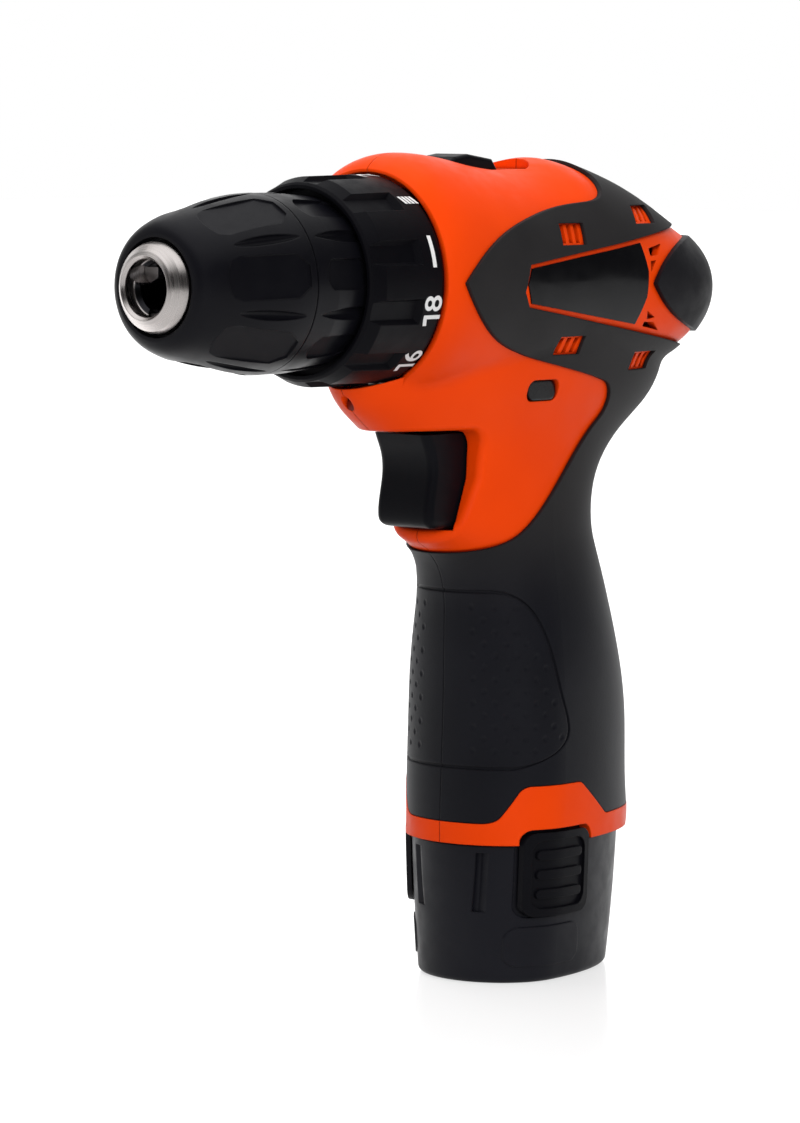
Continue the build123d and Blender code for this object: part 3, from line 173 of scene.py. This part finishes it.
def soft_grip(name, painted_lit_top_colour, handle_colour, low, high):
    """Grained rubber, painted lighter higher up as painted top light, going down to a darker, smoother
    handle.
    """
    n = Nodes(name)
    height = n.axes()["Z"]
    # Painted top light: the colour blends from the handle colour low down to a lighter colour high up.
    up = n.ramp(height, low, high, 0.0, 1.0)
    drift = n.ramp(n.noise(45.0, 2.0), 0.3, 0.7, 0.86, 1.08)
    tint = n.add("ShaderNodeMix", data_type="RGBA", blend_type="MULTIPLY")
    tint.inputs["Factor"].default_value = 1.0
    colours = [s for s in tint.inputs if s.type == "RGBA"]
    n.link(n.mix(up, handle_colour, painted_lit_top_colour), colours[0])
    n.link(drift, colours[1])
    n.link(next(s for s in tint.outputs if s.type == "RGBA"), n.shader.inputs["Base Color"])
    n.link(n.ramp(height, low, high, 0.46, 0.6), n.shader.inputs["Roughness"])
    n.shader.inputs["Specular IOR Level"].default_value = 0.16
    fine = n.noise(2100.0, 2.0, 0.6)
    n.link(n.bump(fine, 0.4, GRAIN_DEPTH, n.soft_edge(0.55 * MM)), n.shader.inputs["Normal"])
    return n.material


def turned_metal(name, colour, rough, rings):
    """Metal with fine turning marks round the drill axis."""
    n = Nodes(name)
    n.shader.inputs["Metallic"].default_value = 1.0
    n.shader.inputs["Anisotropic"].default_value = 0.5
    n.shader.inputs["Base Color"].default_value = (*colour, 1.0)
    add_turning(n, rough, rings)
    return n.material


def add_turning(n, rough, rings):
    stretch = n.add("ShaderNodeMapping")
    stretch.inputs["Scale"].default_value = (rings, 30.0, 30.0)
    n.link(n.place, stretch.inputs["Vector"])
    marks = n.add("ShaderNodeTexNoise")
    marks.inputs["Scale"].default_value = 1.0
    marks.inputs["Detail"].default_value = 3.0
    n.link(stretch.outputs["Vector"], marks.inputs["Vector"])
    n.link(n.ramp(marks.outputs["Fac"], 0.3, 0.7, rough - 0.06, rough + 0.1), n.shader.inputs["Roughness"])
    n.link(n.bump(marks.outputs["Fac"], 0.25, 0.03 * MM, n.soft_edge(0.25 * MM)), n.shader.inputs["Normal"])


def nose_metal(name, colour, painted_hole_shade, hole_radius):
    """Turned steel with painted shade inside the drill hole."""
    n = Nodes(name)
    n.shader.inputs["Metallic"].default_value = 1.0
    n.shader.inputs["Anisotropic"].default_value = 0.4
    # Painted shade: inside the hole radius the colour turns near black.
    clear_of_hole_shade = n.ramp(n.axis_radius(), hole_radius - 0.15 * MM, hole_radius + 0.1 * MM, 0.0, 1.0)
    n.link(n.mix(clear_of_hole_shade, painted_hole_shade, colour), n.shader.inputs["Base Color"])
    add_turning(n, 0.24, 5200.0)
    return n.material


# The orange gets painted shade in its gaps and beside steps, such as the overmould's edge.
orange = moulded("orange_plastic", (0.86, 0.058, 0.0005), (0.81, 0.052, 0.0004), rough=0.40, grain=2600.0,
                 strength=0.10, edge=0.5 * MM, specular=0.1, painted_gap_shade=(0.30, 0.012, 0.0005))
# The first colour is the painted lit top, the second the handle's own colour.
rubber = soft_grip("grip_rubber", (0.019, 0.0178, 0.0185), (0.0068, 0.0070, 0.0100), low=84 * MM,
                   high=118 * MM)
cap_rubber = moulded("cap_rubber", (0.0075, 0.0072, 0.0095), (0.0062, 0.006, 0.008), rough=0.5, grain=2300.0,
                     strength=0.3, edge=0.5 * MM, specular=0.12)
black = moulded("black_plastic", (0.0080, 0.0082, 0.0120), (0.0065, 0.0067, 0.0100), rough=0.40, grain=2800.0,
                strength=0.14, edge=0.4 * MM, specular=0.18)
chuck_black = moulded("chuck_plastic", (0.0046, 0.0045, 0.0066), (0.0040, 0.0039, 0.0055), rough=0.34,
                      grain=2400.0, strength=0.12, edge=0.4 * MM, specular=0.16)
collar_black = moulded("collar_plastic", (0.0034, 0.0033, 0.0048), (0.0028, 0.0027, 0.0040), rough=0.44,
                       grain=2600.0, strength=0.45, edge=0.35 * MM, specular=0.08)
charcoal = moulded("trigger_plastic", (0.0040, 0.0040, 0.0058), (0.0033, 0.0033, 0.0048), rough=0.40,
                   grain=2600.0, strength=0.18, edge=0.3 * MM, specular=0.10)
gloss = moulded("label_film", (0.004, 0.004, 0.005), (0.0035, 0.0035, 0.0042), rough=0.2, grain=900.0,
                strength=0.03, edge=0.1 * MM, specular=0.2)
button_black = moulded("button_plastic", (0.004, 0.004, 0.005), (0.0035, 0.0035, 0.0042), rough=0.22,
                       grain=1500.0, strength=0.04, edge=0.6 * MM, specular=0.4)
white_paint = moulded("dial_paint", (0.80, 0.80, 0.80), (0.72, 0.72, 0.72), rough=0.5, grain=2500.0,
                      strength=0.1, edge=0.05 * MM, specular=0.3)
cell_film = moulded("cell_film", (0.10, 0.32, 0.20), (0.08, 0.27, 0.17), rough=0.35, grain=900.0,
                    strength=0.05)
board_mask = moulded("board_mask", (0.03, 0.17, 0.07), (0.02, 0.13, 0.05), rough=0.4, grain=1500.0,
                     strength=0.1)
nylon = moulded("gear_nylon", (0.70, 0.69, 0.65), (0.62, 0.61, 0.57), rough=0.5, grain=1800.0, strength=0.1)
ferrite = moulded("ferrite", (0.08, 0.08, 0.085), (0.06, 0.06, 0.065), rough=0.7, grain=1800.0, strength=0.3)
# The nose ring's second colour is painted shade in the drill hole.
bright = nose_metal("bright_alloy", (0.76, 0.71, 0.69), (0.03, 0.03, 0.034), 6.25 * MM)
steel = turned_metal("steel", (0.56, 0.56, 0.56), 0.3, 4200.0)
dark_steel = turned_metal("dark_steel", (0.42, 0.42, 0.43), 0.34, 4200.0)
bronze = turned_metal("bronze", (0.55, 0.34, 0.14), 0.4, 3500.0)
copper = turned_metal("copper", (0.72, 0.32, 0.14), 0.32, 3500.0)

lens = Nodes("lamp_lens")
lens.shader.inputs["Base Color"].default_value = (0.34, 0.03, 0.015, 1.0)
lens.shader.inputs["Transmission Weight"].default_value = 0.4
lens.link(lens.ramp(lens.noise(900.0), 0.3, 0.7, 0.1, 0.2), lens.shader.inputs["Roughness"])

FINISH = {
    "orange_plastic": orange,
    "grip_rubber": rubber,
    "black_plastic": black,
    "charcoal_plastic": charcoal,
    "gloss_black": gloss,
    "steel": steel,
    "dark_steel": dark_steel,
    "bronze": bronze,
    "copper": copper,
    "magnet": ferrite,
    "bright_alloy": bright,
    "white_plastic": nylon,
    "cell_wrap": cell_film,
    "lens": lens.material,
    "board_green": board_mask,
    "carbon": ferrite,
}
OWN_FINISH = {
    "chuck_front_sleeve": chuck_black,
    "chuck_rear_sleeve": chuck_black,
    "clutch_collar": collar_black,
    "direction_button": button_black,
    "speed_selector": charcoal,
    "latch_left": charcoal,
    "latch_right": charcoal,
    "rear_cap": cap_rubber,
}
slot_of = {row["node"]: row["material_slot"] for row in frame["record"]["subparts"]}
for name, node in NODES.items():
    finish = OWN_FINISH.get(name) or FINISH[slot_of[name]]
    node.data.materials.clear()
    node.data.materials.append(finish)

# Marks on the torque collar
MARK_X = -56.4 * MM
MARK_PITCH = 360.0 / 11
MARK_TURN = -15.4
DIGIT_H = 5.4 * MM
DIGIT_STEP = 3.7 * MM
DIGIT_STROKE = 0.95 * MM
FONT_RISE = 0.69
NUMBERS = range(18, 0, -2)
DASH_HALF = 3.7 * MM
DASH_HALF_W = 0.62 * MM
BARS = 4
BAR_PITCH = 1.2 * MM
BAR_HALF = 1.2 * MM
BAR_LEAN = 0.525 * MM
BAR_HALF_W = 0.425 * MM
PAINT = 0.04 * MM


def on_collar(u, v, lift, middle):
    """A point on the collar: u runs up round it, v forward along the axis, both from the mark's middle."""
    radius = COLLAR_R + lift
    angle = radians(middle) + u / COLLAR_R
    return Vector((MARK_X - v, -radius * cos(angle), AXIS_Z + radius * sin(angle)))


def finish_mark(obj):
    obj.data.materials.clear()
    obj.data.materials.append(white_paint)
    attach(obj, "clutch_collar")
    return obj


def flat_digit(digit):
    """A mesh of one digit, its middle at the origin. The one is a stem with a slanted flag."""
    if digit == "1":
        stem = 0.5 * DIGIT_STROKE
        top = 0.5 * DIGIT_H
        flag = 0.3 * DIGIT_H
        flag_h = 1.25 * DIGIT_STROKE
        points = [(-stem, -top), (stem, -top), (stem, top), (-stem, top), (-stem, top - flag_h),
                  (-stem - flag, top - flag), (-stem - flag, top - flag + flag_h)]
        mesh = bpy.data.meshes.new("digit_1")
        mesh.from_pydata([(x + 0.1 * DIGIT_H, y, 0) for x, y in points], [], [(0, 1, 2, 3), (3, 6, 5, 4)])
        return mesh
    curve = bpy.data.curves.new("digit_" + digit, "FONT")
    curve.body = digit
    curve.size = DIGIT_H / FONT_RISE
    curve.offset = 0.10 * MM
    curve.align_x = "CENTER"
    curve.align_y = "CENTER"
    curve.resolution_u = 6
    flat = bpy.data.objects.new("flat_" + digit, curve)
    bpy.context.scene.collection.objects.link(flat)
    bpy.context.view_layer.update()
    mesh = bpy.data.meshes.new_from_object(flat)
    bpy.data.objects.remove(flat)
    return mesh


def number_mark(text, middle):
    """A number laid on the collar, reading up round it."""
    for i, digit in enumerate(text):
        mesh = flat_digit(digit)
        shift = (i - (len(text) - 1) / 2) * DIGIT_STEP
        for vertex in mesh.vertices:
            vertex.co = on_collar(vertex.co.x + shift, vertex.co.y, PAINT, middle)
        obj = bpy.data.objects.new(f"dial_{text}_{i + 1}", mesh)
        bpy.context.scene.collection.objects.link(obj)
        finish_mark(obj)


def bar_mark(name, corners, middle):
    """A straight painted bar, given by corners in u and v, bent round the collar."""
    steps = 10
    verts, faces = [], []
    (u0, v0), (u1, v1), (u2, v2), (u3, v3) = corners
    for i in range(steps + 1):
        t = i / steps
        verts.append(on_collar(u0 + (u3 - u0) * t, v0 + (v3 - v0) * t, PAINT, middle))
        verts.append(on_collar(u1 + (u2 - u1) * t, v1 + (v2 - v1) * t, PAINT, middle))
    for i in range(steps):
        faces.append((2 * i, 2 * i + 1, 2 * i + 3, 2 * i + 2))
    mesh = bpy.data.meshes.new(name)
    mesh.from_pydata(verts, [], faces)
    obj = bpy.data.objects.new(name, mesh)
    bpy.context.scene.collection.objects.link(obj)
    return finish_mark(obj)


for i, number in enumerate(NUMBERS):
    number_mark(str(number), MARK_TURN - i * MARK_PITCH)
dash = [(-DASH_HALF, -DASH_HALF_W), (-DASH_HALF, DASH_HALF_W),
        (DASH_HALF, DASH_HALF_W), (DASH_HALF, -DASH_HALF_W)]
bar_mark("dial_dash", dash, MARK_TURN + MARK_PITCH)
for i in range(BARS):
    v = ((BARS - 1) / 2 - i) * BAR_PITCH
    low_v = v - BAR_LEAN
    high_v = v + BAR_LEAN
    slanted = [(-BAR_HALF, low_v - BAR_HALF_W), (-BAR_HALF, low_v + BAR_HALF_W),
               (BAR_HALF, high_v + BAR_HALF_W), (BAR_HALF, high_v - BAR_HALF_W)]
    bar_mark(f"dial_bit_{i + 1}", slanted, MARK_TURN + 2 * MARK_PITCH)

# Floor: white to the eye, and darker in reflections on the dim side
FLOOR = 6.0
FLOOR_DROP = 0.2 * MM
FLOOR_GLOW = 0.64
DIM_GLOW_LOSS = -0.65
DIM_SIDE = (-0.745, -0.667, 0.0)
LEFT_SIDE = (-0.667, 0.745, 0.0)
floor_corners = [(-FLOOR, -FLOOR, 0), (FLOOR, -FLOOR, 0), (FLOOR, FLOOR, 0), (-FLOOR, FLOOR, 0)]
floor_mesh = bpy.data.meshes.new("floor")
floor_mesh.from_pydata(floor_corners, [], [(0, 1, 2, 3)])
floor = bpy.data.objects.new("floor", floor_mesh)
floor.location.z = -FLOOR_DROP
bpy.context.scene.collection.objects.link(floor)

ground = Nodes("floor")
ground.shader.inputs["Roughness"].default_value = 0.12
ground.shader.inputs["Specular IOR Level"].default_value = 0.35
ground.shader.inputs["Emission Color"].default_value = (1.0, 1.0, 1.0, 1.0)
path = ground.add("ShaderNodeLightPath")
near = along(ground.tree, ground.place, DIM_SIDE)
dim = ground.add("ShaderNodeMath", operation="MULTIPLY")
ground.link(ground.ramp(near, -0.1, 0.12, 0.0, 1.0), dim.inputs[0])
ground.link(path.outputs["Is Glossy Ray"], dim.inputs[1])
floor_tone = ground.mix(dim.outputs[0], (0.5, 0.5, 0.5), (0.3, 0.3, 0.3))
ground.link(floor_tone, ground.shader.inputs["Base Color"])
seen = largest(ground.tree, path.outputs["Is Camera Ray"], path.outputs["Is Glossy Ray"])
seen = largest(ground.tree, seen, path.outputs["Is Transmission Ray"])
lit = ground.add("ShaderNodeMath", operation="MULTIPLY_ADD")
ground.link(dim.outputs[0], lit.inputs[0])
lit.inputs[1].default_value = DIM_GLOW_LOSS
ground.link(seen, lit.inputs[2])
lift = ground.add("ShaderNodeMath", operation="MULTIPLY")
ground.link(lit.outputs[0], lift.inputs[0])
lift.inputs[1].default_value = FLOOR_GLOW
ground.link(lift.outputs[0], ground.shader.inputs["Emission Strength"])
floor.data.materials.append(ground.material)

# Studio: white to the eye. Reflections see a bright back wall and ceiling, a grey left wall and a dim front
SEEN_LEVEL = 1.0
FILL_LEVEL = 0.5
world = bpy.data.worlds.new("studio")
bpy.context.scene.world = world
world.use_nodes = True
tree = world.node_tree
background = tree.nodes["Background"]
background.inputs["Color"].default_value = (1.0, 1.0, 1.0, 1.0)


def world_mix(factor, first, second):
    node = tree.nodes.new("ShaderNodeMix")
    tree.links.new(factor, node.inputs["Factor"])
    for socket, value in ((node.inputs["A"], first), (node.inputs["B"], second)):
        if isinstance(value, float):
            socket.default_value = value
        else:
            tree.links.new(value, socket)
    return node.outputs["Result"]


way = tree.nodes.new("ShaderNodeTexCoord").outputs["Generated"]
split = tree.nodes.new("ShaderNodeSeparateXYZ")
tree.links.new(way, split.inputs[0])
walls = smooth_range(tree, along(tree, way, DIM_SIDE), -0.95, -0.45, 1.0, 0.03)
left_wall = smooth_range(tree, along(tree, way, LEFT_SIDE), 0.3, 0.9, 0.0, 0.34)
ceiling = smooth_range(tree, split.outputs["Z"], 0.45, 0.9, 0.0, 1.0)
mirrored = largest(tree, largest(tree, walls, left_wall), ceiling)
path = tree.nodes.new("ShaderNodeLightPath")
direct = largest(tree, path.outputs["Is Camera Ray"], path.outputs["Is Transmission Ray"])
level = world_mix(direct, FILL_LEVEL, SEEN_LEVEL)
level = world_mix(path.outputs["Is Glossy Ray"], level, mirrored)
tree.links.new(level, background.inputs["Strength"])

# Lamps and camera
MIDDLE = (-0.02, 0.0, 0.11)
CAMERA_PLACE = (-0.895, -0.764, 0.208)
CAMERA_AIM = Vector((0.742, 0.664, -0.094))
CAMERA_ROLL = -0.24
CAMERA_LENS = 160.1


def softbox(name, place, size, watts):
    """A soft lamp that looks at the drill's middle and doesn't show in reflections."""
    lamp = bpy.data.lights.new(name, "AREA")
    lamp.shape = "RECTANGLE"
    lamp.size, lamp.size_y = size
    lamp.energy = watts
    obj = bpy.data.objects.new(name, lamp)
    obj.location = place
    obj.rotation_mode = "QUATERNION"
    obj.rotation_quaternion = (Vector(MIDDLE) - Vector(place)).to_track_quat("-Z", "Y")
    obj.visible_glossy = False
    bpy.context.scene.collection.objects.link(obj)


softbox("top_light", (-0.1, 0.25, 1.1), (1.0, 0.8), 9.0)
softbox("left_fill", (-0.75, -1.1, 0.42), (0.9, 0.9), 11.0)
softbox("right_fill", (0.7, 1.0, 0.5), (0.8, 0.8), 6.0)

camera_data = bpy.data.cameras.new("camera")
camera_data.lens = CAMERA_LENS
camera_data.sensor_width = 36.0
camera = bpy.data.objects.new("camera", camera_data)
camera.location = CAMERA_PLACE
camera.rotation_mode = "QUATERNION"
roll = Quaternion(CAMERA_AIM.normalized(), radians(CAMERA_ROLL))
camera.rotation_quaternion = roll @ CAMERA_AIM.to_track_quat("-Z", "Y")
bpy.context.scene.collection.objects.link(camera)
bpy.context.scene.camera = camera
bpy.context.scene.view_settings.view_transform = "Standard"
